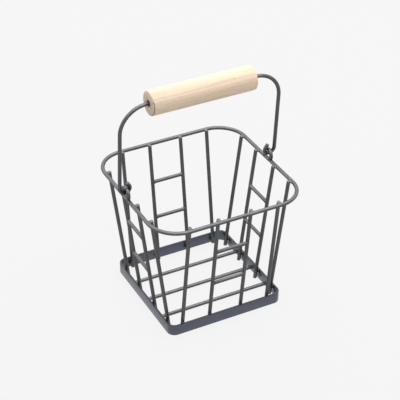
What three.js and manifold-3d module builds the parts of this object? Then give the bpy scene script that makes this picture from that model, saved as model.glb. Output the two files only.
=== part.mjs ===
// Square wire basket with a swinging bail and a turned wooden grip.
// Millimetres, +Z up. The origin lies on the ground under the middle of the basket.
// +X runs along the bail's swing axis, from the left eye to the right one, and the front faces -Y.
import * as THREE from 'three';
import { mergeVertices } from 'three/addons/utils/BufferGeometryUtils.js';
import Module from 'manifold-3d';

// Rim: one round wire bent into a rounded square, measured on the wire's centre line
const RIM_SPAN = 166;
const RIM_HEIGHT = 140.3;
const RIM_CORNER = 31.7;
const RIM_WIRE = 4.1;

// Base band: a flat strip on edge, measured on its outside, with its bend measured on the inside
const BAND_SPAN = 133.4;
const BAND_HEIGHT = 12.5;
const BAND_THICKNESS = 2.2;
const BAND_BEND = 6.6;
const BAND_EDGE_EASE = 0.4;

// Uprights: four straight wires to a face, welded inside the rim and inside the band
const UPRIGHT_WIRE = 4;
const MIDDLE_PAIR_SPACING = 37;
const OUTER_TOP_MARGIN = 0.8;
const OUTER_FOOT_INSET = 14;
const FOOT_HEIGHT = 1.5;
const TOP_DOME = 0.9;

// Rungs: two short wires between the middle uprights of each face
const RUNG_WIRE = 4;
const UPPER_RUNG_HEIGHT = 97.5;
const LOWER_RUNG_HEIGHT = 54.6;

// Floor: three wires from the left side of the band to the right side, set a little to the front
const FLOOR_WIRE = 4;
const FLOOR_SPACING = 33.1;
const FLOOR_SHIFT = 0.7;
const FLOOR_LIFT = 0.3;

// Eyes: wire staples that stand on the rim in the middle of the left and right sides
const EYE_WIRE = 4;
const EYE_SPAN = 13.2;
const EYE_LEG = 5.3;
const EYE_WRAP_DEG = 25;

// Bail: one wire, hooked through both eyes and bent over the top for the grip
const BAIL_WIRE = 4;
const BAIL_RISE = 103.1;
const BAIL_LEAN_DEG = 4.2;
const LEG_CLEARANCE = 2.85;
const HOOK_PLAY = 1;
const HOOK_SIDE_CLEARANCE = 0.4;
const HOOK_BEND = 5;
const HOOK_CURL_DEG = 30;
const HOOK_TIP = 4.6;

// Grip: a turned wooden cylinder that hangs loose on the bail
const GRIP_LENGTH = 116;
const GRIP_DIAMETER = 25.8;
const GRIP_END_PLAY = 4.5;
const GRIP_SLIDE = 1.3;
const GRIP_EDGE_ROUND = 1.2;
const BORE_PLAY = 0.5;
const MOUTH_FLARE = 1.7;

// Fits between pieces
const WELD_GAP = 0.3;
const SEAT_GAP = 0.3;
const WIRE_END_EASE = 0.35;

// Facets: round a wire and the grip, and along a wire's bend, a band's corner and an eased edge
const WIRE_SIDES = 14;
const GRIP_SIDES = 40;
const BEND_STEPS = 10;
const BAND_BEND_STEPS = 8;
const EDGE_STEPS = 4;

// Points closer than this are one point when solids are cut
const SAME_POINT = 1e-4;

const STEEL = { color: 0x56575a, roughness: 0.5, metalness: 0.3 };
const BEECH = { color: 0xe2cba6, roughness: 0.65, metalness: 0 };

// Sizes that follow from the ones above
const rimHalf = RIM_SPAN / 2;
const bandInner = BAND_SPAN / 2 - BAND_THICKNESS;
const rimTop = RIM_HEIGHT + RIM_WIRE / 2;
const middleOffset = MIDDLE_PAIR_SPACING / 2;
const outerTopOffset = rimHalf - RIM_CORNER - OUTER_TOP_MARGIN;
const outerFootOffset = bandInner - OUTER_FOOT_INSET;
const eyeRadius = EYE_SPAN / 2;
const swingAxisHeight = RIM_HEIGHT + EYE_LEG;
const bailReach = rimHalf + RIM_WIRE / 2 + LEG_CLEARANCE + BAIL_WIRE / 2;

const wasm = await Module();
wasm.setup();

const basket = new THREE.Group();

function add(parent, name, geometry, finish) {
  const mesh = new THREE.Mesh(geometry, new THREE.MeshStandardMaterial(finish));
  mesh.name = name;
  parent.add(mesh);
  return mesh;
}

// A solid for joining and cutting, made from a closed geometry
function solidOf(geometry) {
  const bare = geometry.clone();
  bare.deleteAttribute('normal');
  bare.deleteAttribute('uv');
  const merged = mergeVertices(bare, SAME_POINT);
  const vertProperties = new Float32Array(merged.attributes.position.array);
  const triVerts = new Uint32Array(merged.index.array);
  return new wasm.Manifold(new wasm.Mesh({ numProp: 3, vertProperties, triVerts }));
}

function geometryOf(solid) {
  const mesh = solid.getMesh();
  const geometry = new THREE.BufferGeometry();
  geometry.setAttribute('position', new THREE.BufferAttribute(mesh.vertProperties, 3));
  geometry.setIndex(new THREE.BufferAttribute(mesh.triVerts, 1));
  geometry.computeVertexNormals();
  return geometry;
}

// A wire's centre line through given points: a station at each point, whatever their spacing
class CentreLine extends THREE.Curve {
  constructor(points) {
    super();
    this.points = points;
  }

  get steps() {
    return this.points.length - 1;
  }

  getUtoTmapping(u) {
    return u;
  }

  getPoint(t, target = new THREE.Vector3()) {
    const place = Math.min(Math.max(t, 0), 1) * this.steps;
    const from = Math.min(Math.floor(place), this.steps - 1);
    return target.lerpVectors(this.points[from], this.points[from + 1], place - from);
  }
}

// The centre line that a flat path of lines and arcs takes in space
function centreLineOf(path, toSpace) {
  return new CentreLine(path.getPoints(BEND_STEPS / 2).map(toSpace));
}

// An open bent wire with square-cut ends
function bentWire(line, diameter) {
  const section = new THREE.Shape().absarc(0, 0, diameter / 2, 0, 2 * Math.PI);
  const options = { steps: line.steps, extrudePath: line, curveSegments: WIRE_SIDES / 2 };
  return new THREE.ExtrudeGeometry(section, options);
}

// A straight wire from the origin along its axis, with an eased foot and a domed top
const WIRE_AXIS = new THREE.Vector3(0, 0, 1);

function straightWire(length, diameter, dome = WIRE_END_EASE) {
  const radius = diameter / 2;
  const profile = new THREE.Path();
  profile.moveTo(0, 0);
  profile.lineTo(radius - WIRE_END_EASE, 0);
  profile.lineTo(radius, WIRE_END_EASE);
  profile.lineTo(radius, length - dome);
  profile.absellipse(0, length - dome, radius, dome, 0, Math.PI / 2, false, 0);
  return new THREE.LatheGeometry(profile.getPoints(EDGE_STEPS / 2), WIRE_SIDES).rotateX(Math.PI / 2);
}

// A square with rounded corners, counter-clockwise from the middle of its front side
function roundedSquare(path, half, corner) {
  const straight = half - corner;
  path.moveTo(0, -half);
  path.lineTo(straight, -half);
  path.absarc(straight, -straight, corner, -Math.PI / 2, 0, false);
  path.lineTo(half, straight);
  path.absarc(straight, straight, corner, 0, Math.PI / 2, false);
  path.lineTo(-straight, half);
  path.absarc(-straight, straight, corner, Math.PI / 2, Math.PI, false);
  path.lineTo(-half, -straight);
  path.absarc(-straight, -straight, corner, Math.PI, 1.5 * Math.PI, false);
  path.lineTo(0, -half);
  return path;
}

// Rim: a closed ring of round wire
function rimRing() {
  const outline = roundedSquare(new THREE.Path(), rimHalf, RIM_CORNER);
  const line = centreLineOf(outline, (p) => new THREE.Vector3(p.x, p.y, RIM_HEIGHT));
  return new THREE.TubeGeometry(line, line.steps, RIM_WIRE / 2, WIRE_SIDES, true);
}

// Base band: the strip stands on edge, with its long edges eased
function baseBand() {
  const strip = roundedSquare(new THREE.Shape(), BAND_SPAN / 2, BAND_BEND + BAND_THICKNESS);
  strip.holes.push(roundedSquare(new THREE.Path(), bandInner, BAND_BEND));
  const geometry = new THREE.ExtrudeGeometry(strip, {
    depth: BAND_HEIGHT - 2 * BAND_EDGE_EASE,
    bevelThickness: BAND_EDGE_EASE,
    bevelSize: BAND_EDGE_EASE,
    bevelOffset: -BAND_EDGE_EASE,
    bevelSegments: EDGE_STEPS / 2,
    curveSegments: BAND_BEND_STEPS / 2,
  });
  return geometry.translate(0, 0, BAND_EDGE_EASE);
}

// Each upright leans outward so that it touches the rim's wire and the band's top inner edge.
// Seen from the side, it is the line that passes both at the reach of its own radius and the weld gap.
function uprightLine() {
  const reach = UPRIGHT_WIRE / 2 + WELD_GAP;
  const out = rimHalf - bandInner;
  const up = RIM_HEIGHT - BAND_HEIGHT;
  const flare = Math.atan2(out, up) - Math.asin(RIM_WIRE / 2 / Math.hypot(out, up));
  const atBandTop = bandInner - reach / Math.cos(flare);
  const distanceAt = (height) => atBandTop + (height - BAND_HEIGHT) * Math.tan(flare);
  return { flare, distanceAt };
}

// A rung lies between two uprights and is shaped to them at both ends
function copedRung(flare) {
  const bar = new THREE.CylinderGeometry(RUNG_WIRE / 2, RUNG_WIRE / 2, MIDDLE_PAIR_SPACING, WIRE_SIDES);
  let solid = solidOf(bar.rotateZ(Math.PI / 2));
  for (const side of [-1, 1]) {
    const radius = UPRIGHT_WIRE / 2 + WELD_GAP;
    const cutter = new THREE.CylinderGeometry(radius, radius, 4 * RUNG_WIRE, 2 * WIRE_SIDES);
    cutter.rotateX(Math.PI / 2 + flare).translate(side * middleOffset, 0, 0);
    solid = solid.subtract(solidOf(cutter));
  }
  return geometryOf(solid);
}

// One face of the basket, built as the front face: +X to the right and -Y outward.
// The middle uprights are a pair for the rungs. The outer ones stand a set way in from the band's
// corners and end where the rim's corners begin.
function addFace(face, name) {
  const { flare, distanceAt } = uprightLine();
  const footOffsets = [-outerFootOffset, -middleOffset, middleOffset, outerFootOffset];
  const topOffsets = [-outerTopOffset, -middleOffset, middleOffset, outerTopOffset];
  footOffsets.forEach((footOffset, index) => {
    const foot = new THREE.Vector3(footOffset, -distanceAt(FOOT_HEIGHT), FOOT_HEIGHT);
    const top = new THREE.Vector3(topOffsets[index], -distanceAt(rimTop), rimTop);
    const run = top.sub(foot);
    const upright = straightWire(run.length(), UPRIGHT_WIRE, TOP_DOME);
    const mesh = add(face, `${name}_upright_${index + 1}`, upright, STEEL);
    mesh.position.copy(foot);
    mesh.quaternion.setFromUnitVectors(WIRE_AXIS, run.normalize());
  });
  const rung = copedRung(flare);
  const rungs = { upper: UPPER_RUNG_HEIGHT, lower: LOWER_RUNG_HEIGHT };
  for (const [level, height] of Object.entries(rungs)) {
    const mesh = add(face, `${name}_${level}_rung`, rung, STEEL);
    mesh.position.set(0, -distanceAt(height), height);
  }
}

// The floor wires end at the inside of the band, just above the ground
function addFloor() {
  const length = 2 * (bandInner - WELD_GAP);
  const wire = straightWire(length, FLOOR_WIRE).rotateY(Math.PI / 2).translate(-length / 2, 0, 0);
  ['front', 'middle', 'back'].forEach((name, index) => {
    const mesh = add(basket, `floor_wire_${name}`, wire, STEEL);
    mesh.position.set(0, (index - 1) * FLOOR_SPACING - FLOOR_SHIFT, FLOOR_LIFT + FLOOR_WIRE / 2);
  });
}

// An eye is an arch that runs on below its middle, so that its two short legs turn in to the rim.
// Its feet are shaped to the rim that they stand on.
function eyeStaple() {
  const wrap = THREE.MathUtils.degToRad(EYE_WRAP_DEG);
  const shoulder = eyeRadius * Math.cos(wrap);
  const shoulderHeight = EYE_LEG - eyeRadius * Math.sin(wrap);
  const foot = shoulder - shoulderHeight * Math.tan(wrap);
  const path = new THREE.Path();
  path.moveTo(-foot, 0);
  path.lineTo(-shoulder, shoulderHeight);
  path.absarc(0, EYE_LEG, eyeRadius, Math.PI + wrap, -wrap, true);
  path.lineTo(foot, 0);
  const line = centreLineOf(path, (p) => new THREE.Vector3(0, p.x, p.y));
  const radius = RIM_WIRE / 2 + WELD_GAP;
  const rimCutter = new THREE.CylinderGeometry(radius, radius, EYE_SPAN + 2 * EYE_WIRE, 2 * WIRE_SIDES);
  return geometryOf(solidOf(bentWire(line, EYE_WIRE)).subtract(solidOf(rimCutter)));
}

// The bail's centre line in its own plane, measured from the swing axis.
// From the left it runs: hook tip, hook, leg, bend, top, bend, leg, hook, hook tip.
function bailPath() {
  const curl = THREE.MathUtils.degToRad(HOOK_CURL_DEG);
  const quarter = Math.PI / 2;
  const lowest = eyeRadius - EYE_WIRE / 2 - BAIL_WIRE / 2 - HOOK_PLAY;
  const hookX = rimHalf - EYE_WIRE / 2 - BAIL_WIRE / 2 - HOOK_SIDE_CLEARANCE + HOOK_BEND;
  const hookY = lowest + HOOK_BEND;
  const legBend = bailReach - hookX;
  const legY = lowest + legBend;
  const topRun = (GRIP_LENGTH + GRIP_END_PLAY) / 2;
  const topBend = bailReach - topRun;
  const topY = BAIL_RISE - topBend;
  const curlEnd = new THREE.Vector2(hookX - HOOK_BEND * Math.cos(curl), hookY + HOOK_BEND * Math.sin(curl));
  const tip = new THREE.Vector2(Math.sin(curl), Math.cos(curl)).multiplyScalar(HOOK_TIP).add(curlEnd);
  const path = new THREE.Path();
  path.moveTo(-tip.x, tip.y);
  path.lineTo(-curlEnd.x, curlEnd.y);
  path.absarc(-hookX, hookY, HOOK_BEND, curl, -quarter, true);
  path.absarc(-hookX, legY, legBend, -quarter, -2 * quarter, true);
  path.lineTo(-bailReach, topY);
  path.absarc(-topRun, topY, topBend, 2 * quarter, quarter, true);
  path.lineTo(topRun, BAIL_RISE);
  path.absarc(topRun, topY, topBend, quarter, 0, true);
  path.lineTo(bailReach, legY);
  path.absarc(hookX, legY, legBend, 0, -quarter, true);
  path.absarc(hookX, hookY, HOOK_BEND, -quarter, -2 * quarter - curl, true);
  path.lineTo(tip.x, tip.y);
  return path;
}

// Grip: turned round +X, with rounded end edges and a bore that flares at both mouths
function turnedGrip() {
  const half = GRIP_LENGTH / 2;
  const radius = GRIP_DIAMETER / 2;
  const bore = BAIL_WIRE / 2 + BORE_PLAY;
  const edge = radius - GRIP_EDGE_ROUND;
  const profile = new THREE.Path();
  profile.moveTo(bore, -half + MOUTH_FLARE);
  profile.lineTo(bore + MOUTH_FLARE, -half);
  profile.lineTo(edge, -half);
  profile.absarc(edge, -half + GRIP_EDGE_ROUND, GRIP_EDGE_ROUND, -Math.PI / 2, 0, false);
  profile.lineTo(radius, half - GRIP_EDGE_ROUND);
  profile.absarc(edge, half - GRIP_EDGE_ROUND, GRIP_EDGE_ROUND, 0, Math.PI / 2, false);
  profile.lineTo(bore + MOUTH_FLARE, half);
  profile.lineTo(bore, half - MOUTH_FLARE);
  profile.lineTo(bore, -half + MOUTH_FLARE);
  return new THREE.LatheGeometry(profile.getPoints(EDGE_STEPS / 2), GRIP_SIDES).rotateZ(-Math.PI / 2);
}

add(basket, 'top_rim', rimRing(), STEEL);
add(basket, 'base_band', baseBand(), STEEL);

['front', 'right', 'back', 'left'].forEach((name, quarterTurns) => {
  const face = new THREE.Group();
  face.rotation.z = (quarterTurns * Math.PI) / 2;
  basket.add(face);
  addFace(face, name);
});

addFloor();

const eye = eyeStaple();
add(basket, 'left_eye', eye, STEEL).position.set(-rimHalf, 0, RIM_HEIGHT);
add(basket, 'right_eye', eye, STEEL).position.set(rimHalf, 0, RIM_HEIGHT);

// The bail stands up, leaning a little to the front, and its grip has slid a little to the left
const handle = new THREE.Group();
handle.position.z = swingAxisHeight;
handle.rotation.x = THREE.MathUtils.degToRad(BAIL_LEAN_DEG);
basket.add(handle);
const bailLine = centreLineOf(bailPath(), (p) => new THREE.Vector3(p.x, 0, p.y));
add(handle, 'bail', bentWire(bailLine, BAIL_WIRE), STEEL);
add(handle, 'grip', turnedGrip(), BEECH).position.set(-GRIP_SLIDE, 0, BAIL_RISE - BORE_PLAY + SEAT_GAP);

export default basket;
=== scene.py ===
# %% [markdown]
# # A square wire basket with a wooden grip
#
# The basket is bent and welded from round steel rod and one flat strip, finished in a dark grey powder
# coat, and carried by a wire bail with a turned beech grip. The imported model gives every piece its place
# and its motion. This lesson draws each wire again as a smooth swept section, adds the welds that hold
# the wires together, and gives the two materials their finish.

import math

import bmesh
import bpy
from mathutils import Matrix, Vector, noise


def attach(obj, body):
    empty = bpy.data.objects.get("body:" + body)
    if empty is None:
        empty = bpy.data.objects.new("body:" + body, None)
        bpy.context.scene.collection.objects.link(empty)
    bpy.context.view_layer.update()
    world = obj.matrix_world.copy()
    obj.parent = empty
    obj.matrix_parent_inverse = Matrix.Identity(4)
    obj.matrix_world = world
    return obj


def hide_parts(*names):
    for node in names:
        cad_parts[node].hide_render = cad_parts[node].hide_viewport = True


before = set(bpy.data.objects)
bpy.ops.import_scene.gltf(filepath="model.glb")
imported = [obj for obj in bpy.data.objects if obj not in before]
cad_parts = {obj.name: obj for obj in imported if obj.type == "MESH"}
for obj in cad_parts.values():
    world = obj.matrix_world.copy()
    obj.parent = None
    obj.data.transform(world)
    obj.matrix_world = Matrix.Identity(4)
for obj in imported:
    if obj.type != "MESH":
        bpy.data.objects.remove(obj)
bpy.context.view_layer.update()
MM = 0.001

# %% [markdown]
# ## Shader maths as plain arithmetic
#
# A finish is made of values that change over the surface: a grain, a stain, a bump. Blender keeps them on
# node sockets. Every node could be added and linked by hand, but a small class that wraps a socket and
# knows the arithmetic signs lets a finish be written as an expression, such as 0.4 + 0.1 * grain, and each
# sign adds its own Math node.


# %% A field: one value of a finish
class Field:
    """A value, vector or colour that changes over a surface."""

    def __init__(self, tree, socket):
        self.tree = tree
        self.socket = socket

    def node(self, kind, sockets, settings=None, output=0):
        """Add a node, set it up, then give each socket its number, colour or link."""
        made = self.tree.nodes.new(kind)
        for name, value in (settings or {}).items():
            if name == "stops":
                set_ramp(made.color_ramp, value)
            else:
                setattr(made, name, value)
        for key, value in sockets.items():
            if isinstance(value, Field):
                self.tree.links.new(value.socket, made.inputs[key])
            else:
                made.inputs[key].default_value = value
        return Field(self.tree, made.outputs[output])

    def maths(self, operation, *values):
        return self.node("ShaderNodeMath", dict(enumerate(values)), {"operation": operation})

    def __add__(self, other):
        return self.maths("ADD", self, other)

    __radd__ = __add__

    def __mul__(self, other):
        return self.maths("MULTIPLY", self, other)

    __rmul__ = __mul__

    def __sub__(self, other):
        return self.maths("SUBTRACT", self, other)

    def __rsub__(self, other):
        return self.maths("SUBTRACT", other, self)

    def __gt__(self, other):
        return self.maths("GREATER_THAN", self, other)

    def __lt__(self, other):
        return self.maths("LESS_THAN", self, other)

    def __abs__(self):
        return self.maths("ABSOLUTE", self)

    def larger(self, other):
        return self.maths("MAXIMUM", self, other)

    def rise(self, start, end):
        """Nought at start and one at end, even between them and held beyond."""
        return self.node("ShaderNodeMapRange", {"Value": self, "From Min": start, "From Max": end})

    def part(self, index):
        """One part of a vector: 0, 1 or 2 for X, Y or Z."""
        return self.node("ShaderNodeSeparateXYZ", {0: self}, output=index)

    def stretched(self, scale):
        """Coordinates for a pattern that runs longer where the scale is under one."""
        return self.node("ShaderNodeMapping", {"Vector": self, "Scale": scale})

    def mottle(self, scale, detail, roughness):
        """Soft noise over these coordinates."""
        sockets = {"Vector": self, "Scale": scale, "Detail": detail, "Roughness": roughness}
        return self.node("ShaderNodeTexNoise", sockets)

    def bump(self, strength, depth):
        """A normal that leans as if this value were a height."""
        return self.node("ShaderNodeBump", {"Height": self, "Strength": strength, "Distance": depth})

    def ramp(self, *stops):
        """Turn the value into a colour by stops of (place, colour)."""
        return self.node("ShaderNodeValToRGB", {0: self}, {"stops": stops})

    def mix(self, first, second):
        """Mix two colours, with this value as the share of the second."""
        return self.node("ShaderNodeMix", {0: self, 6: first, 7: second}, {"data_type": "RGBA"}, output=2)


def opaque(colour):
    """A colour with full cover, as colour sockets want it."""
    return (*colour, 1.0)


def set_ramp(ramp, stops):
    while len(ramp.elements) < len(stops):
        ramp.elements.new(1.0)
    for element, (place, colour) in zip(ramp.elements, stops):
        element.position = place
        element.color = opaque(colour)


def new_finish(name):
    """A material with one Principled shader, and the piece's own coordinates as a field."""
    material = bpy.data.materials.new(name)
    material.use_nodes = True
    tree = material.node_tree
    coordinates = tree.nodes.new("ShaderNodeTexCoord")
    return material, tree.nodes["Principled BSDF"], Field(tree, coordinates.outputs["Object"])


def connect(field, socket):
    field.tree.links.new(field.socket, socket)


print("fields ready")

# %% [markdown]
# ## Powder coat
#
# Powder coat is plastic dust that is baked onto the steel until it flows. This one carries dark metal
# flake, so it is nearly black by itself and mostly mirrors the room: pale along the top of a level wire,
# dark down an upright. It has a satin skin with a fine orange peel, a little uneven in shade where it
# flowed thicker, and on the wires it mirrors less at a grazing angle than bare metal would. A picture
# texture would need its own unwrapping on every wire, so peel and shade are noise in the piece's own
# coordinates.

# %% Powder coat
PEEL_SCALE = 1500.0
PEEL_DEPTH = 0.1 * MM
PEEL_STRENGTH = 0.1
FLOW_SCALE = 90.0
FLAKE_SHARE = 0.95
COAT_ROUGHNESS = 0.32
PEEL_ROUGHNESS = 0.1
CLEAR_ROUGHNESS = 0.35
WIRE_DARK = (0.089, 0.0877, 0.0932)
WIRE_LIGHT = (0.112, 0.1103, 0.116)
WIRE_GRAZING = (0.75, 0.75, 0.75)


def powder_coat(name, dark, light, grazing, clear=0.0, painted_light=None):
    """A satin coat with a fine orange peel.

    Grazing tints the gloss that is seen at a flat angle, clear is the share of a clear top coat, and
    painted_light may paint a highlight or shade over the colour.
    """
    material, shader, place = new_finish(name)
    peel = place.mottle(PEEL_SCALE, detail=2.0, roughness=0.5)
    flow = place.mottle(FLOW_SCALE, detail=3.0, roughness=0.6)
    colour = flow.ramp((0.3, dark), (0.7, light))
    # Painted highlight or painted shade, where a piece's coat is given one.
    if painted_light:
        colour = painted_light(place, colour)
    connect(colour, shader.inputs["Base Color"])
    connect(COAT_ROUGHNESS + PEEL_ROUGHNESS * peel, shader.inputs["Roughness"])
    connect(peel.bump(PEEL_STRENGTH, PEEL_DEPTH), shader.inputs["Normal"])
    shader.inputs["Metallic"].default_value = FLAKE_SHARE
    shader.inputs["Specular Tint"].default_value = opaque(grazing)
    shader.inputs["Coat Weight"].default_value = clear
    shader.inputs["Coat Roughness"].default_value = CLEAR_ROUGHNESS
    return material


coated_wire = powder_coat("coated_wire", WIRE_DARK, WIRE_LIGHT, WIRE_GRAZING)
print("powder coat nodes", len(coated_wire.node_tree.nodes))

# %% [markdown]
# ## Bending wire
#
# A wire bender feeds the rod straight on, or bends it round a former. The same two moves draw the wire
# here: feeding extrudes the open end of the section, and bending spins it round the former's centre. So a
# piece is written as the list of moves that a workshop would use, and its roundness comes for free.

# %% The wire bender
MERGE_DISTANCE = 1e-7


def ease(bm, geom, width, segments, affect="EDGES"):
    """Round edges, or corners where affect says VERTICES, with a bevel of that width."""
    bmesh.ops.bevel(
        bm,
        geom=geom,
        offset=width,
        offset_type="OFFSET",
        affect=affect,
        segments=segments,
        profile=0.5,
        material=-1,
        clamp_overlap=True,
    )


class WireBender:
    """Draws one swept piece by feeding and bending its open end."""

    def __init__(self, start, heading, bend_axis, draw_section):
        self.bm = bmesh.new()
        self.place = Vector(start)
        self.heading = Vector(heading).normalized()
        self.bend_axis = Vector(bend_axis).normalized()
        inward = self.bend_axis.cross(self.heading)
        turn = Matrix((inward, self.bend_axis, self.heading)).transposed().to_4x4()
        draw_section(self.bm, Matrix.Translation(self.place) @ turn)
        self.first_end = self.bm.edges[:]
        self.open_end = self.first_end

    def feed(self, length):
        """Push the open end straight on, and return its new ring of vertices."""
        made = bmesh.ops.extrude_edge_only(self.bm, edges=self.open_end)["geom"]
        ring = {item for item in made if isinstance(item, bmesh.types.BMVert)}
        edges = [item for item in made if isinstance(item, bmesh.types.BMEdge)]
        self.open_end = [edge for edge in edges if set(edge.verts) <= ring]
        bmesh.ops.translate(self.bm, verts=list(ring), vec=self.heading * length)
        self.place = self.place + self.heading * length
        return list(ring)

    def bend(self, radius, degrees, steps):
        """Turn the open end about the bend axis, round a former of that radius."""
        centre = self.place + self.bend_axis.cross(self.heading) * radius
        angle = math.radians(degrees)
        made = bmesh.ops.spin(
            self.bm,
            geom=self.open_end,
            cent=centre,
            axis=self.bend_axis,
            angle=angle,
            steps=steps,
        )
        self.open_end = [item for item in made["geom_last"] if isinstance(item, bmesh.types.BMEdge)]
        turn = Matrix.Rotation(angle, 3, self.bend_axis)
        self.place = centre + turn @ (self.place - centre)
        self.heading = turn @ self.heading

    def swell(self, ring, direction, times):
        """Stretch a ring at the present place along one direction, as a weld fillet does."""
        for vertex in ring:
            offset = vertex.co - self.place
            vertex.co += direction * (offset.dot(direction) * (times - 1))

    def join_ends(self):
        bmesh.ops.remove_doubles(self.bm, verts=self.bm.verts, dist=MERGE_DISTANCE)
        return self.bm

    def cut_ends(self, first_ease, last_ease, segments=3):
        for ring, width in ((self.first_end, first_ease), (self.open_end, last_ease)):
            bmesh.ops.edgeloop_fill(self.bm, edges=ring)
            ease(self.bm, ring, width, segments)
        return self.bm


print("wire bender ready")

# %% [markdown]
# ## From mesh to piece
#
# A finished mesh becomes an object that knows its place in the model: the body it moves with, the material
# slot it belongs to and the plain solid that it stands for. Every piece goes the same way, so one function
# does it. A round wire needs the same section each time, so that is a function as well.

# %% Round section and finished piece
WIRE_SIDES = 24
SHARP_ANGLE = math.radians(50)


def round_wire(diameter):
    """A round section of that diameter, for the bender."""

    def draw_section(bm, matrix):
        bmesh.ops.create_circle(bm, segments=WIRE_SIDES, radius=diameter / 2, matrix=matrix)

    return draw_section


def settle(bm, name, body, finish, nodes=()):
    """Turn the finished bmesh into a smooth piece that rides on its body and stands for its nodes."""
    bmesh.ops.recalc_face_normals(bm, faces=bm.faces)
    mesh = bpy.data.meshes.new(name)
    bm.to_mesh(mesh)
    bm.free()
    mesh.shade_smooth()
    mesh.set_sharp_from_angle(angle=SHARP_ANGLE)
    mesh.materials.append(finish)
    piece = bpy.data.objects.new(name, mesh)
    bpy.context.scene.collection.objects.link(piece)
    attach(piece, body)
    if nodes:
        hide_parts(*nodes)
    return piece


print("wire sides", WIRE_SIDES)

# %% [markdown]
# ## Rim
#
# The rim is one rod bent into a rounded square and butt-welded where its ends meet. It could be a bevelled
# curve, but the bender shows how it is made: half a side, then corner and side in turn, back to the start.

# %% Rim
RIM_HALF = 83.0 * MM
RIM_HEIGHT = 140.3 * MM
RIM_CORNER = 31.7 * MM
RIM_WIRE = 4.1 * MM
RIM_STEPS = 24


def rounded_square(bender, half, corner, steps):
    """Take the bender once round a square with rounded corners, from the middle of its front side."""
    straight = half - corner
    bender.feed(straight)
    for side in range(4):
        bender.bend(corner, 90, steps)
        bender.feed(straight if side == 3 else 2 * straight)
    return bender.join_ends()


rim_bender = WireBender((0, -RIM_HALF, RIM_HEIGHT), (1, 0, 0), (0, 0, 1), round_wire(RIM_WIRE))
rim_ring = rounded_square(rim_bender, RIM_HALF, RIM_CORNER, RIM_STEPS)
rim = settle(rim_ring, "rim_wire", "basket", coated_wire, ["top_rim"])
print("rim faces", len(rim.data.polygons))

# %% [markdown]
# ## Strip coat
#
# The strip at the foot of the basket has the same coat, but it looks bluer and smoother than the wires, so
# its flake is bluer and it gets a clear top coat. Along its upper and lower edge the strip carries painted
# shade. The strip stands on edge all the way round, so the height alone says where these edges are, and no
# mask has to be painted.

# %% Strip coat
BAND_HEIGHT = 12.5 * MM
EDGE_SHADE_WIDTH = 0.5 * MM
EDGE_SHADE_FADE = 0.3 * MM
STRIP_DARK = (0.0655, 0.0765, 0.104)
STRIP_LIGHT = (0.084, 0.0985, 0.131)
STRIP_GRAZING = (1.0, 1.0, 1.0)
# Painted shade along the strip's upper and lower edge.
STRIP_EDGE_SHADE = (0.012, 0.014, 0.018)
STRIP_CLEAR = 0.52


def painted_edge_shade(place, colour):
    """Paint shade on the strip along its upper and lower edges."""
    from_middle = abs(place.part(2) - BAND_HEIGHT / 2)
    start = BAND_HEIGHT / 2 - EDGE_SHADE_WIDTH
    return from_middle.rise(start, start + EDGE_SHADE_FADE).mix(colour, opaque(STRIP_EDGE_SHADE))


# The strip's coat carries painted shade along its upper and lower edge.
coated_strip = powder_coat(
    "coated_strip",
    STRIP_DARK,
    STRIP_LIGHT,
    STRIP_GRAZING,
    clear=STRIP_CLEAR,
    painted_light=painted_edge_shade,
)
print("strip coat nodes", len(coated_strip.node_tree.nodes))

# %% [markdown]
# ## Base band
#
# The basket stands on a flat strip set on edge and bent into a square with small corners. It could be cut
# from a box, but its section is only a rectangle with eased corners, so the same bender sweeps it round.

# %% Base band
BAND_HALF = 66.7 * MM
BAND_THICKNESS = 2.2 * MM
BAND_BEND = 6.6 * MM
BAND_EASE = 0.5 * MM
BAND_STEPS = 12


def flat_strip(bm, matrix):
    """A rectangle on edge: thickness along the bend's inside, height along the bend's axis."""
    for across, up in ((-1, -1), (1, -1), (1, 1), (-1, 1)):
        bm.verts.new(matrix @ Vector((across * BAND_THICKNESS / 2, up * BAND_HEIGHT / 2, 0)))
    bm.faces.new(bm.verts[:])
    ease(bm, bm.verts[:], BAND_EASE, segments=3, affect="VERTICES")
    bmesh.ops.delete(bm, geom=bm.faces[:], context="FACES_ONLY")


band_middle = BAND_HALF - BAND_THICKNESS / 2
band_bender = WireBender((0, -band_middle, BAND_HEIGHT / 2), (1, 0, 0), (0, 0, 1), flat_strip)
band_ring = rounded_square(band_bender, band_middle, BAND_BEND + BAND_THICKNESS / 2, BAND_STEPS)
band = settle(band_ring, "base_strip", "basket", coated_strip, ["base_band"])
print("band faces", len(band.data.polygons))

# %% [markdown]
# ## Painted highlight on the tips
#
# The uprights end just below the top of the rim, and their tips carry a painted highlight, a little paler
# where their tops face the light above. A second material on the tips would show a seam, so the uprights
# get a coat of their own that grows paler with the height.

# %% Painted highlight on the tips
TIP_BELOW_RIM = 0.45 * MM
TIP_HIGHLIGHT_LENGTH = 1.4 * MM
TIP_FADE = 0.4 * MM
# Painted highlight on the uprights' tips.
TIP_HIGHLIGHT_COLOUR = (0.125, 0.1235, 0.127)
head_height = RIM_HEIGHT + RIM_WIRE / 2 - TIP_BELOW_RIM


def painted_tip_highlight(place, colour):
    """Paint a highlight on the uprights' tips: a little paler towards the top."""
    start = head_height - TIP_HIGHLIGHT_LENGTH
    return place.part(2).rise(start, start + TIP_FADE).mix(colour, opaque(TIP_HIGHLIGHT_COLOUR))


# The uprights' coat carries a painted highlight on their tips.
coated_rod = powder_coat("coated_rod", WIRE_DARK, WIRE_LIGHT, WIRE_GRAZING, painted_light=painted_tip_highlight)
print("tips at height in mm", round(head_height / MM, 2))

# %% [markdown]
# ## Uprights
#
# Four straight rods stand in each face, inside the rim and inside the band, and lean outward. Each is one
# feed of the bender. The lean could be measured by eye, but it follows from what the rod is welded to: the
# rim's wire at the top and the inner edge of the band at the bottom, each a weld's gap away.

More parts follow.
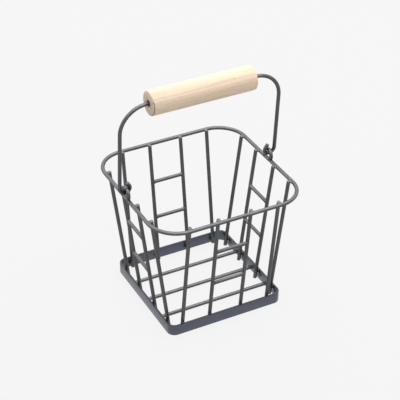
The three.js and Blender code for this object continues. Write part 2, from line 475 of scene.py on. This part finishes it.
# %% Uprights
UPRIGHT_WIRE = 4.0 * MM
WELD_GAP = 0.3 * MM
FOOT_HEIGHT = 1.5 * MM
TOP_DOME = 0.3 * MM
END_EASE = 0.35 * MM
END_STEPS = 5
MIDDLE_OFFSET = 18.5 * MM
OUTER_OFFSET = 50.5 * MM
FACES = ("front", "right", "back", "left")
OFFSETS = (-OUTER_OFFSET, -MIDDLE_OFFSET, MIDDLE_OFFSET, OUTER_OFFSET)

# The lean is that of the line from the band's top inner edge that just touches the rim's wire.
band_inner = BAND_HALF - BAND_THICKNESS
rim_overhang = RIM_HALF - band_inner
rim_rise = RIM_HEIGHT - BAND_HEIGHT
FLARE = math.atan2(rim_overhang, rim_rise) - math.asin(RIM_WIRE / 2 / math.hypot(rim_overhang, rim_rise))


def upright_distance(height):
    """How far an upright's middle stands from the basket's middle at that height."""
    at_band_top = band_inner - (UPRIGHT_WIRE / 2 + WELD_GAP) / math.cos(FLARE)
    return at_band_top + (height - BAND_HEIGHT) * math.tan(FLARE)


def face_turn(index):
    """The quarter turn that takes the front face to face number index."""
    return Matrix.Rotation(index * math.pi / 2, 4, "Z")


for face_index, face in enumerate(FACES):
    for number, offset in enumerate(OFFSETS, start=1):
        foot = Vector((offset, -upright_distance(FOOT_HEIGHT), FOOT_HEIGHT))
        head = Vector((offset, -upright_distance(head_height), head_height))
        bender = WireBender(foot, head - foot, (1, 0, 0), round_wire(UPRIGHT_WIRE))
        bender.feed((head - foot).length)
        rod = bender.cut_ends(END_EASE, TOP_DOME, END_STEPS)
        rod.transform(face_turn(face_index))
        node = f"{face}_upright_{number}"
        settle(rod, f"{node}_rod", "basket", coated_rod, [node])
print("flare in degrees", round(math.degrees(FLARE), 2))

# %% [markdown]
# ## Rungs
#
# Two short rungs tie the middle uprights of each face together. They are butt-welded, and a butt weld shows
# as a small swelling where the wire runs into its neighbour. A separate bead would leave a crease there, so
# the rung itself swells along its neighbour's line, and its ends are buried in the neighbour.

# %% Rungs
RUNG_WIRE = 4.0 * MM
RUNG_HEIGHTS = {"upper": 97.5 * MM, "lower": 54.6 * MM}
FILLET = 1.3 * MM
FILLET_SWELL = 1.38
BURIED_EASE = 0.1 * MM


def welded_bar(start, end, diameter, neighbour, buried):
    """A straight wire between two welds, which swells along its neighbours' direction at both ends."""
    run = Vector(end) - Vector(start)
    heading = run.normalized()
    bender = WireBender(Vector(start) - heading * buried, heading, neighbour, round_wire(diameter))
    bender.swell(bender.bm.verts, neighbour, FILLET_SWELL)
    bender.feed(buried)
    bender.swell(bender.feed(FILLET), neighbour, 1 / FILLET_SWELL)
    bender.feed(run.length - 2 * FILLET)
    bender.swell(bender.feed(FILLET), neighbour, FILLET_SWELL)
    bender.feed(buried)
    return bender.cut_ends(BURIED_EASE, BURIED_EASE, segments=1)


reach = MIDDLE_OFFSET - UPRIGHT_WIRE / 2
lean = Vector((0, -math.sin(FLARE), math.cos(FLARE)))
for face_index, face in enumerate(FACES):
    for level, height in RUNG_HEIGHTS.items():
        line = -upright_distance(height)
        bar = welded_bar((-reach, line, height), (reach, line, height), RUNG_WIRE, lean, UPRIGHT_WIRE / 2)
        bar.transform(face_turn(face_index))
        node = f"{face}_{level}_rung"
        settle(bar, f"{node}_bar", "basket", coated_wire, [node])
print("rungs", len(FACES) * len(RUNG_HEIGHTS))

# %% [markdown]
# ## Floor wires
#
# Three wires cross the floor from the left side of the band to the right, all set a little to the front.
# They are butt-welded to the inside of the band as the rungs are to the uprights, so the same bar serves.

# %% Floor wires
FLOOR_WIRE = 4.0 * MM
FLOOR_SPACING = 33.1 * MM
FLOOR_SHIFT = 0.7 * MM
FLOOR_LIFT = 0.3 * MM
floor_height = FLOOR_LIFT + FLOOR_WIRE / 2
band_run = Vector((0, 1, 0))

for name, row in (("front", -1), ("middle", 0), ("back", 1)):
    line = row * FLOOR_SPACING - FLOOR_SHIFT
    left_end = (-band_inner, line, floor_height)
    right_end = (band_inner, line, floor_height)
    bar = welded_bar(left_end, right_end, FLOOR_WIRE, band_run, BAND_THICKNESS / 4)
    settle(bar, f"floor_{name}_bar", "basket", coated_wire, [f"floor_wire_{name}"])
print("floor wires at height in mm", round(floor_height / MM, 2))

# %% [markdown]
# ## Eyes
#
# An eye is a staple welded upright on the rim, and the bail hooks through it. A torus would be a closed
# ring, but the real eye is open below: its arch runs on past the middle, so the two short legs turn in
# towards each other before they reach the rim's wire. So the bender makes a leg, a long bend and a leg.

# %% Eyes
EYE_WIRE = 4.0 * MM
EYE_RADIUS = 6.6 * MM
EYE_LEG = 5.3 * MM
EYE_WRAP = 25
EYE_STEPS = 36
swing_height = RIM_HEIGHT + EYE_LEG

wrap = math.radians(EYE_WRAP)
shoulder = EYE_RADIUS * math.cos(wrap)
shoulder_height = EYE_LEG - EYE_RADIUS * math.sin(wrap)
eye_foot = shoulder - shoulder_height * math.tan(wrap)
leg_run = shoulder_height / math.cos(wrap)

for side, sign in (("left", -1), ("right", 1)):
    foot = Vector((sign * RIM_HALF, -eye_foot, RIM_HEIGHT))
    bender = WireBender(foot, (0, -math.sin(wrap), math.cos(wrap)), (-1, 0, 0), round_wire(EYE_WIRE))
    bender.feed(leg_run)
    bender.bend(EYE_RADIUS, 180 + 2 * EYE_WRAP, EYE_STEPS)
    bender.feed(leg_run)
    staple = bender.cut_ends(BURIED_EASE, BURIED_EASE, segments=1)
    settle(staple, f"{side}_eye_staple", "basket", coated_wire, [f"{side}_eye"])
print("swing axis at height in mm", round(swing_height / MM, 1))

# %% [markdown]
# ## Welds
#
# Where an upright crosses the rim or the band, the wires lie side by side and a bead of weld fills the
# crease. A bead is a flattened drop with an uneven skin. A plain ball would look like a bearing, so it
# starts as an icosphere, gets a little noise, and is pressed to its size along the two wires.

# %% Welds
BEAD_LUMP = 0.18
LUMP_SCALE = 1.7
LUMP_SHIFT = 900
RIM_BEAD = Vector((2.6, 1.25, 1.5)) * MM
BAND_BEAD = Vector((2.5, 1.2, 2.4)) * MM
BAND_BEAD_DROP = 2.2 * MM


def weld_bead(bm, place, size, tilt):
    """One bead: size runs along the crossed wire, through the joint and along the upright."""
    made = bmesh.ops.create_icosphere(bm, subdivisions=3, radius=1.0)["verts"]
    for vertex in made:
        vertex.co *= 1 + BEAD_LUMP * noise.noise(vertex.co * LUMP_SCALE + place * LUMP_SHIFT)
    turn = Matrix.Rotation(tilt, 4, "X")
    press = Matrix.Diagonal((*size, 1))
    bmesh.ops.transform(bm, matrix=Matrix.Translation(place) @ turn @ press, verts=made)


inward = Vector((0, math.cos(FLARE), math.sin(FLARE)))
for face_index, face in enumerate(FACES):
    bm = bmesh.new()
    for offset in OFFSETS:
        at_rim = Vector((offset, -RIM_HALF, RIM_HEIGHT)) + inward * (RIM_WIRE + WELD_GAP) / 2
        weld_bead(bm, at_rim, RIM_BEAD, FLARE)
        at_band = Vector((offset, -band_inner + WELD_GAP / 2, BAND_HEIGHT - BAND_BEAD_DROP))
        weld_bead(bm, at_band, BAND_BEAD, FLARE)
    bm.transform(face_turn(face_index))
    settle(bm, f"{face}_welds", "basket", coated_wire)
print("weld beads", 2 * len(FACES) * len(OFFSETS))

# %% [markdown]
# ## Bail
#
# The bail is one wire, and every bend in it turns the same way: down from the hook's tip, round the hook,
# out and up the leg, over the top, and the same moves in reverse down the other side. It is drawn upright
# in its own plane, which keeps the moves plain, and then leans to the front about the swing axis, as it
# stands in the photograph.

# %% Bail
BAIL_WIRE = 4.0 * MM
BAIL_RISE = 103.1 * MM
BAIL_LEAN = math.radians(4.2)
BAIL_REACH = 89.9 * MM
TOP_RUN = 120.5 * MM
TOP_STEPS = 24
LEG_STEPS = 14
HOOK_CURL = 30
HOOK_TIP = 4.6 * MM
HOOK_BEND = 5.0 * MM
HOOK_LOWEST = 1.6 * MM
HOOK_CENTRE = 83.6 * MM
HOOK_STEPS = 18
HOOK_EASE = 0.4 * MM

curl = math.radians(HOOK_CURL)
leg_bend = BAIL_REACH - HOOK_CENTRE
top_bend = BAIL_REACH - TOP_RUN / 2
leg_length = BAIL_RISE - top_bend - HOOK_LOWEST - leg_bend
hook_heading = Vector((math.sin(curl), 0, -math.cos(curl)))
hook_out = Vector((math.cos(curl), 0, math.sin(curl)))
hook_centre = Vector((-HOOK_CENTRE, 0, swing_height + HOOK_LOWEST + HOOK_BEND))
hook_tip = hook_centre + hook_out * HOOK_BEND - hook_heading * HOOK_TIP

bender = WireBender(hook_tip, hook_heading, (0, 1, 0), round_wire(BAIL_WIRE))
bender.feed(HOOK_TIP)
bender.bend(HOOK_BEND, 90 + HOOK_CURL, HOOK_STEPS)
bender.bend(leg_bend, 90, LEG_STEPS)
bender.feed(leg_length)
bender.bend(top_bend, 90, TOP_STEPS)
bender.feed(TOP_RUN)
bender.bend(top_bend, 90, TOP_STEPS)
bender.feed(leg_length)
bender.bend(leg_bend, 90, LEG_STEPS)
bender.bend(HOOK_BEND, 90 + HOOK_CURL, HOOK_STEPS)
bender.feed(HOOK_TIP)
bail_wire = bender.cut_ends(HOOK_EASE, HOOK_EASE)
lean_forward = Matrix.Rotation(BAIL_LEAN, 3, "X")
bmesh.ops.rotate(bail_wire, verts=bail_wire.verts, cent=(0, 0, swing_height), matrix=lean_forward)
bail = settle(bail_wire, "bail_wire", "bail", coated_wire, ["bail"])
print("bail faces", len(bail.data.polygons))

# %% [markdown]
# ## Beech grain
#
# Beech is pale, with faint growth rings and short brown flecks that run along the grain. On a turned grip
# the rings show as long soft stripes along the side and as arcs on the ends. Stripes on the side alone
# would not meet the arcs, so one set of rings, centred off to the side as in a split log, gives both. Fibre
# and flecks are noise stretched along the grain.

# %% Beech grain
GRIP_LENGTH = 116.0 * MM
GRIP_RADIUS = 12.9 * MM
GRIP_SLIDE = 1.3 * MM
GRIP_DROP = 0.2 * MM
GRAIN_STRETCH = (0.06, 1.0, 1.0)
FLECK_STRETCH = (0.16, 1.0, 1.0)
LOG_SHIFT = (0.0, 0.02, -0.03)
RING_SCALE = 130.0
FIBRE_SCALE = 900.0
STAIN_SCALE = 160.0
FLECK_SCALE = 1500.0
WOOD_PALE = (0.82, 0.665, 0.49)
WOOD_MID = (0.765, 0.595, 0.435)
WOOD_DEEP = (0.66, 0.49, 0.36)
FLECK_COLOUR = (0.53, 0.37, 0.245)
FLECK_FROM = 0.62
FLECK_FULL = 0.72
FLECK_SHARE = 0.55

grip_rise = BAIL_RISE - GRIP_DROP
grip_line = -grip_rise * math.sin(BAIL_LEAN)
grip_height = swing_height + grip_rise * math.cos(BAIL_LEAN)
GRIP_MIDDLE = Vector((-GRIP_SLIDE, grip_line, grip_height))

beech, beech_shader, beech_place = new_finish("beech")
grip_place = beech_place.node(
    "ShaderNodeVectorMath",
    {0: beech_place, 1: GRIP_MIDDLE},
    {"operation": "SUBTRACT"},
)
along_grain = grip_place.stretched(GRAIN_STRETCH)
ring_place = along_grain.node("ShaderNodeMapping", {"Vector": along_grain, "Location": LOG_SHIFT})
rings = ring_place.node(
    "ShaderNodeTexWave",
    {"Vector": ring_place, "Scale": RING_SCALE, "Distortion": 2.2, "Detail": 2.0, "Detail Scale": 1.4},
    {"wave_type": "RINGS", "rings_direction": "X", "wave_profile": "SAW"},
)
fibre = along_grain.mottle(FIBRE_SCALE, detail=3.0, roughness=0.6)
stain = along_grain.mottle(STAIN_SCALE, detail=2.0, roughness=0.5)
fleck = grip_place.stretched(FLECK_STRETCH).mottle(FLECK_SCALE, detail=1.0, roughness=0.4)
shade = 0.5 * stain + 0.3 * rings + 0.2 * fibre
wood_base = shade.ramp((0.34, WOOD_PALE), (0.52, WOOD_MID), (0.7, WOOD_DEEP))
wood_colour = (FLECK_SHARE * fleck.rise(FLECK_FROM, FLECK_FULL)).mix(wood_base, opaque(FLECK_COLOUR))
print("grip middle in mm", [round(c / MM, 1) for c in GRIP_MIDDLE])

# %% [markdown]
# ## Pin knots
#
# Three pin knots, about as wide as a pencil lead, show on the upper front of the grip. They could be
# modelled as pits, but they are flush with the turned wood, so each is a soft dark dot round a point on
# its skin.

# %% Pin knots
KNOTS = (((32.4, -8.6, 9.6), 1.1), ((27.7, -7.4, 10.6), 0.8), ((1.9, -6.5, 11.1), 0.9))
KNOT_CORE = 0.25
KNOT_COLOUR = (0.3, 0.2, 0.13)
KNOT_SHARE = 0.7

for knot, size in KNOTS:
    from_knot = grip_place.node(
        "ShaderNodeVectorMath",
        {0: grip_place, 1: Vector(knot) * MM},
        {"operation": "DISTANCE"},
        output=1,
    )
    dot = from_knot.rise(size * MM, KNOT_CORE * size * MM)
    wood_colour = (KNOT_SHARE * dot).mix(wood_colour, opaque(KNOT_COLOUR))
print("pin knots", len(KNOTS))

# %% [markdown]
# ## Sawn ends and the worn edge
#
# The sawn ends soak up more light than the turned side, so they are darker, and darker towards the bottom.
# At the left end the front edge is worn: the end's colour spills over it, a dark line runs round it, and
# inside the line lies a painted highlight. The mouths of the bore carry painted shade. All of this is too
# shallow to model, so each mark is a mask: the share of another colour that is laid over the wood.

# %% Sawn ends and the worn edge
BORE_RADIUS = 2.5 * MM
MOUTH_FLARE = 1.7 * MM
# Painted shade inside the mouths of the bore, where the recess is in shadow.
MOUTH_SHADE_RADIUS = BORE_RADIUS + 0.9 * MOUTH_FLARE
MOUTH_SHADE_COLOUR = (0.11, 0.072, 0.047)
END_DEPTH = 0.3 * MM
END_COLOUR = (0.42, 0.305, 0.215)
END_SHARE = 0.52
# The sawn ends are made darker towards the bottom.
END_PALER_ABOVE = 0.28
WORN_FROM = 0.55
WORN_FULL = 0.9
WORN_SPILL = 0.9 * MM
WORN_LEAST = 0.8
# A dark line round the worn front edge of the left end.
DARK_LINE_WIDTH = 1.0 * MM
DARK_LINE_COLOUR = (0.27, 0.165, 0.115)
DARK_LINE_SHARE = 0.85
# A painted highlight on the rounded front edge, inside the dark line.
EDGE_HIGHLIGHT_DEPTH = 2.2 * MM
EDGE_HIGHLIGHT_COLOUR = (0.85, 0.66, 0.53)
EDGE_HIGHLIGHT_SHARE = 0.7

lengthwise = grip_place.part(0)
frontward = grip_place.part(1) * (-1 / GRIP_RADIUS)
topward = grip_place.part(2) * (1 / GRIP_RADIUS)
cross_place = grip_place.stretched((0.0, 1.0, 1.0))
from_axis = cross_place.node("ShaderNodeVectorMath", {0: cross_place}, {"operation": "LENGTH"}, output=1)

worn = frontward.rise(WORN_FROM, WORN_FULL)
right_line = GRIP_LENGTH / 2 - END_DEPTH
left_line = WORN_SPILL * worn - right_line
sawn = (lengthwise < left_line).larger(lengthwise > right_line)
end_colour = ((END_SHARE - END_PALER_ABOVE * topward) * sawn).mix(wood_colour, opaque(END_COLOUR))

dark_line_start = left_line - DARK_LINE_WIDTH
most_worn = worn > WORN_LEAST
dark_line_mask = most_worn * (lengthwise < left_line) * (lengthwise > dark_line_start)
dark_lined_colour = (DARK_LINE_SHARE * dark_line_mask).mix(end_colour, opaque(DARK_LINE_COLOUR))
# Paint the highlight on the worn edge's rounding.
edge_highlight_mask = most_worn * (lengthwise < dark_line_start) * (from_axis > GRIP_RADIUS - EDGE_HIGHLIGHT_DEPTH)
edge_highlighted_colour = (EDGE_HIGHLIGHT_SHARE * edge_highlight_mask).mix(dark_lined_colour, opaque(EDGE_HIGHLIGHT_COLOUR))
# Paint the shade in the mouths of the bore.
grip_colour = (from_axis < MOUTH_SHADE_RADIUS).mix(edge_highlighted_colour, opaque(MOUTH_SHADE_COLOUR))
print("sawn ends start in mm", round(right_line / MM, 1))

# %% [markdown]
# ## Beech skin
#
# The grip is sanded and left matt, but handling has given it a faint sheen. The fibre that tints the wood
# also roughens it and raises it a little, so colour and feel belong together.

# %% Beech skin
WOOD_SHEEN = 0.6
WOOD_ROUGHNESS = 0.45
FIBRE_ROUGHNESS = 0.15
FIBRE_STRENGTH = 0.15
FIBRE_DEPTH = 0.1 * MM

connect(grip_colour, beech_shader.inputs["Base Color"])
connect(WOOD_ROUGHNESS + FIBRE_ROUGHNESS * fibre, beech_shader.inputs["Roughness"])
connect(fibre.bump(FIBRE_STRENGTH, FIBRE_DEPTH), beech_shader.inputs["Normal"])
beech_shader.inputs["Specular IOR Level"].default_value = WOOD_SHEEN
print("beech nodes", len(beech.node_tree.nodes))

# %% [markdown]
# ## Grip
#
# The grip is turned: a rectangle from the bore to the outside, spun once round the wire, with its outer
# edges rounded and the mouths of the bore opened a little by the drill. A cylinder with a hole cut through
# it would give the same form, but the spin has no cut to clean up.

# %% Grip
EDGE_ROUND = 1.2 * MM
EDGE_STEPS = 6
GRIP_SIDES = 96
NEAR = 1e-6

bm = bmesh.new()
grip_end = GRIP_LENGTH / 2
for x, radius in (
    (-grip_end, BORE_RADIUS),
    (-grip_end, GRIP_RADIUS),
    (grip_end, GRIP_RADIUS),
    (grip_end, BORE_RADIUS),
):
    bm.verts.new((x, 0, radius))
profile = bm.verts[:]
for here, following in zip(profile, profile[1:] + profile[:1]):
    bm.edges.new((here, following))
bmesh.ops.spin(
    bm,
    geom=bm.verts[:] + bm.edges[:],
    cent=(0, 0, 0),
    axis=(1, 0, 0),
    angle=2 * math.pi,
    steps=GRIP_SIDES,
    use_merge=True,
)
bmesh.ops.remove_doubles(bm, verts=bm.verts, dist=MERGE_DISTANCE)


def end_loops(bm, radius):
    """The edges that run round both ends of the grip at that radius."""
    found = []
    for edge in bm.edges:
        level = abs(edge.verts[0].co.x - edge.verts[1].co.x) < NEAR
        distances = [math.hypot(vertex.co.y, vertex.co.z) for vertex in edge.verts]
        if level and all(abs(distance - radius) < NEAR for distance in distances):
            found.append(edge)
    return found


ease(bm, end_loops(bm, GRIP_RADIUS), EDGE_ROUND, EDGE_STEPS)
ease(bm, end_loops(bm, BORE_RADIUS), MOUTH_FLARE, segments=1)
bmesh.ops.rotate(bm, verts=bm.verts, cent=(0, 0, 0), matrix=lean_forward)
bmesh.ops.translate(bm, verts=bm.verts, vec=GRIP_MIDDLE)
grip = settle(bm, "grip_turning", "grip", beech, ["grip"])
print("grip faces", len(grip.data.polygons))

# %% [markdown]
# ## Camera
#
# The camera looks down at the basket's left front corner through a long lens, which keeps the uprights
# nearly parallel. Its place was fitted to the wires' lines in the photograph. It is given by the point it
# looks at, two angles and a distance, because these are easier to picture than a place and a turn.

# %% Camera
AZIMUTH = math.radians(-27.563)
ELEVATION = math.radians(34.009)
ROLL = math.radians(0.234)
AIM = Vector((0.00930, 0.01429, 0.10076))
DISTANCE = 1.44272
LENS = 121.733
SENSOR = 36.0

back = Vector(
    (
        math.sin(AZIMUTH) * math.cos(ELEVATION),
        -math.cos(AZIMUTH) * math.cos(ELEVATION),
        math.sin(ELEVATION),
    )
)
camera_data = bpy.data.cameras.new("photo_camera")
camera_data.lens = LENS
camera_data.sensor_width = SENSOR
camera = bpy.data.objects.new("photo_camera", camera_data)
bpy.context.scene.collection.objects.link(camera)
camera.rotation_mode = "QUATERNION"
camera.location = AIM + back * DISTANCE
level_view = back.to_track_quat("Z", "Y").to_matrix()
camera.rotation_quaternion = (Matrix.Rotation(ROLL, 3, back) @ level_view).to_quaternion()
bpy.context.scene.camera = camera
print("camera at", [round(c, 3) for c in camera.location])

# %% [markdown]
# ## Floor
#
# The basket stands on a pale floor that runs into a background of the same shade. A floor that is lit
# bright enough to be that pale would throw too much light on the basket. So to the camera and to
# reflections it is mostly that one shade, with a little of its own light and shadow kept, and to all
# other rays it is an ordinary pale surface.

# %% Floor
BACKDROP = 0.9216
FLOOR_SHADE = 0.7
FLOOR_LIGHT = 1.36
FLOOR_ROUGHNESS = 0.9
FLOOR_HALF = 6.0
SHADE_KEPT = 0.08


def grey(shade):
    return opaque((shade, shade, shade))


def seen_directly(field):
    """One where the camera, a reflection or a refraction looks, and nought for other light."""
    path = field.tree.nodes.new("ShaderNodeLightPath")
    names = ("Is Camera Ray", "Is Glossy Ray", "Is Transmission Ray")
    camera_ray, glossy_ray, transmission_ray = [Field(field.tree, path.outputs[name]) for name in names]
    return camera_ray.larger(glossy_ray).larger(transmission_ray)


# The glow makes up what the floor's own lit shade lacks of the backdrop.
floor_glow = (BACKDROP - SHADE_KEPT * FLOOR_SHADE * FLOOR_LIGHT) / (1 - SHADE_KEPT)
floor_paint = bpy.data.materials.new("pale_floor")
floor_paint.use_nodes = True
floor_tree = floor_paint.node_tree
floor_shader = floor_tree.nodes["Principled BSDF"]
floor_shader.inputs["Base Color"].default_value = grey(FLOOR_SHADE)
floor_shader.inputs["Roughness"].default_value = FLOOR_ROUGHNESS
floor_shader.inputs["Specular IOR Level"].default_value = 0.0
floor_own = Field(floor_tree, floor_shader.outputs[0])
glow = floor_own.node("ShaderNodeEmission", {"Color": grey(floor_glow), "Strength": 1.0})
glow_share = (1 - SHADE_KEPT) * seen_directly(floor_own)
floor_mix = floor_own.node("ShaderNodeMixShader", {0: glow_share, 1: floor_own, 2: glow})
connect(floor_mix, floor_tree.nodes["Material Output"].inputs["Surface"])

bm = bmesh.new()
bmesh.ops.create_grid(bm, x_segments=1, y_segments=1, size=FLOOR_HALF)
floor_mesh = bpy.data.meshes.new("studio_floor")
bm.to_mesh(floor_mesh)
bm.free()
floor_mesh.materials.append(floor_paint)
studio_floor = bpy.data.objects.new("studio_floor", floor_mesh)
bpy.context.scene.collection.objects.link(studio_floor)
print("floor glow", round(floor_glow, 3))

# %% [markdown]
# ## World
#
# The world is the background behind the floor, in the same shade to the camera and to reflections. To all
# other rays it is a dim white sky that fills the shade, because a sky as bright as the background would
# wash the shadows out.

# %% World
SKY_FILL = 0.26

world = bpy.data.worlds.new("studio_world")
bpy.context.scene.world = world
world.use_nodes = True
world_tree = world.node_tree
sky = world_tree.nodes["Background"]
sky.inputs["Color"].default_value = grey(1.0)
sky.inputs["Strength"].default_value = SKY_FILL
fill = Field(world_tree, sky.outputs[0])
backdrop = fill.node("ShaderNodeBackground", {"Color": grey(BACKDROP), "Strength": 1.0})
world_mix = fill.node("ShaderNodeMixShader", {0: seen_directly(fill), 1: fill, 2: backdrop})
connect(world_mix, world_tree.nodes["World Output"].inputs["Surface"])
print("sky fill", SKY_FILL)

# %% [markdown]
# ## Lamps
#
# Small lamps would draw hard lines on the glossy wires, so the lamps are wide and soft. The one above gives
# the back of the rim its bright line, the one behind does so for the rim's sides, and two smaller ones, low
# at the left back and on the right, light the sides of the wires. The ceiling lamp is seen by gloss only:
# the coat mirrors it as a pale ceiling, and the wood's own colour gets no light from it.


# %% Lamps
def soft_lamp(name, place, aim, width, height, power):
    """An oblong lamp that faces its aim."""
    light = bpy.data.lights.new(name, "AREA")
    light.shape = "RECTANGLE"
    light.size = width
    light.size_y = height
    light.energy = power
    lamp = bpy.data.objects.new(name, light)
    bpy.context.scene.collection.objects.link(lamp)
    lamp.location = place
    lamp.rotation_mode = "QUATERNION"
    lamp.rotation_quaternion = (Vector(place) - Vector(aim)).to_track_quat("Z", "Y")
    return lamp


MIDDLE = (0.0, 0.0, 0.12)
soft_lamp("lamp_above", (0.15, -0.12, 1.1), MIDDLE, width=1.7, height=1.7, power=17.6)
soft_lamp("lamp_behind", (0.17, 1.05, 0.6), MIDDLE, width=2.2, height=0.8, power=8.0)
soft_lamp("lamp_left", (-1.05, 0.8, 0.33), MIDDLE, width=0.8, height=0.8, power=4.5)
soft_lamp("lamp_right", (1.15, 0.1, 0.4), MIDDLE, width=1.0, height=0.9, power=3.2)
ceiling = soft_lamp("lamp_ceiling", (-0.1, 0.0, 1.15), MIDDLE, width=2.3, height=2.3, power=23.0)
ceiling.visible_diffuse = False
bpy.context.scene.view_settings.view_transform = "Standard"
print("lamps", len(bpy.data.lights))
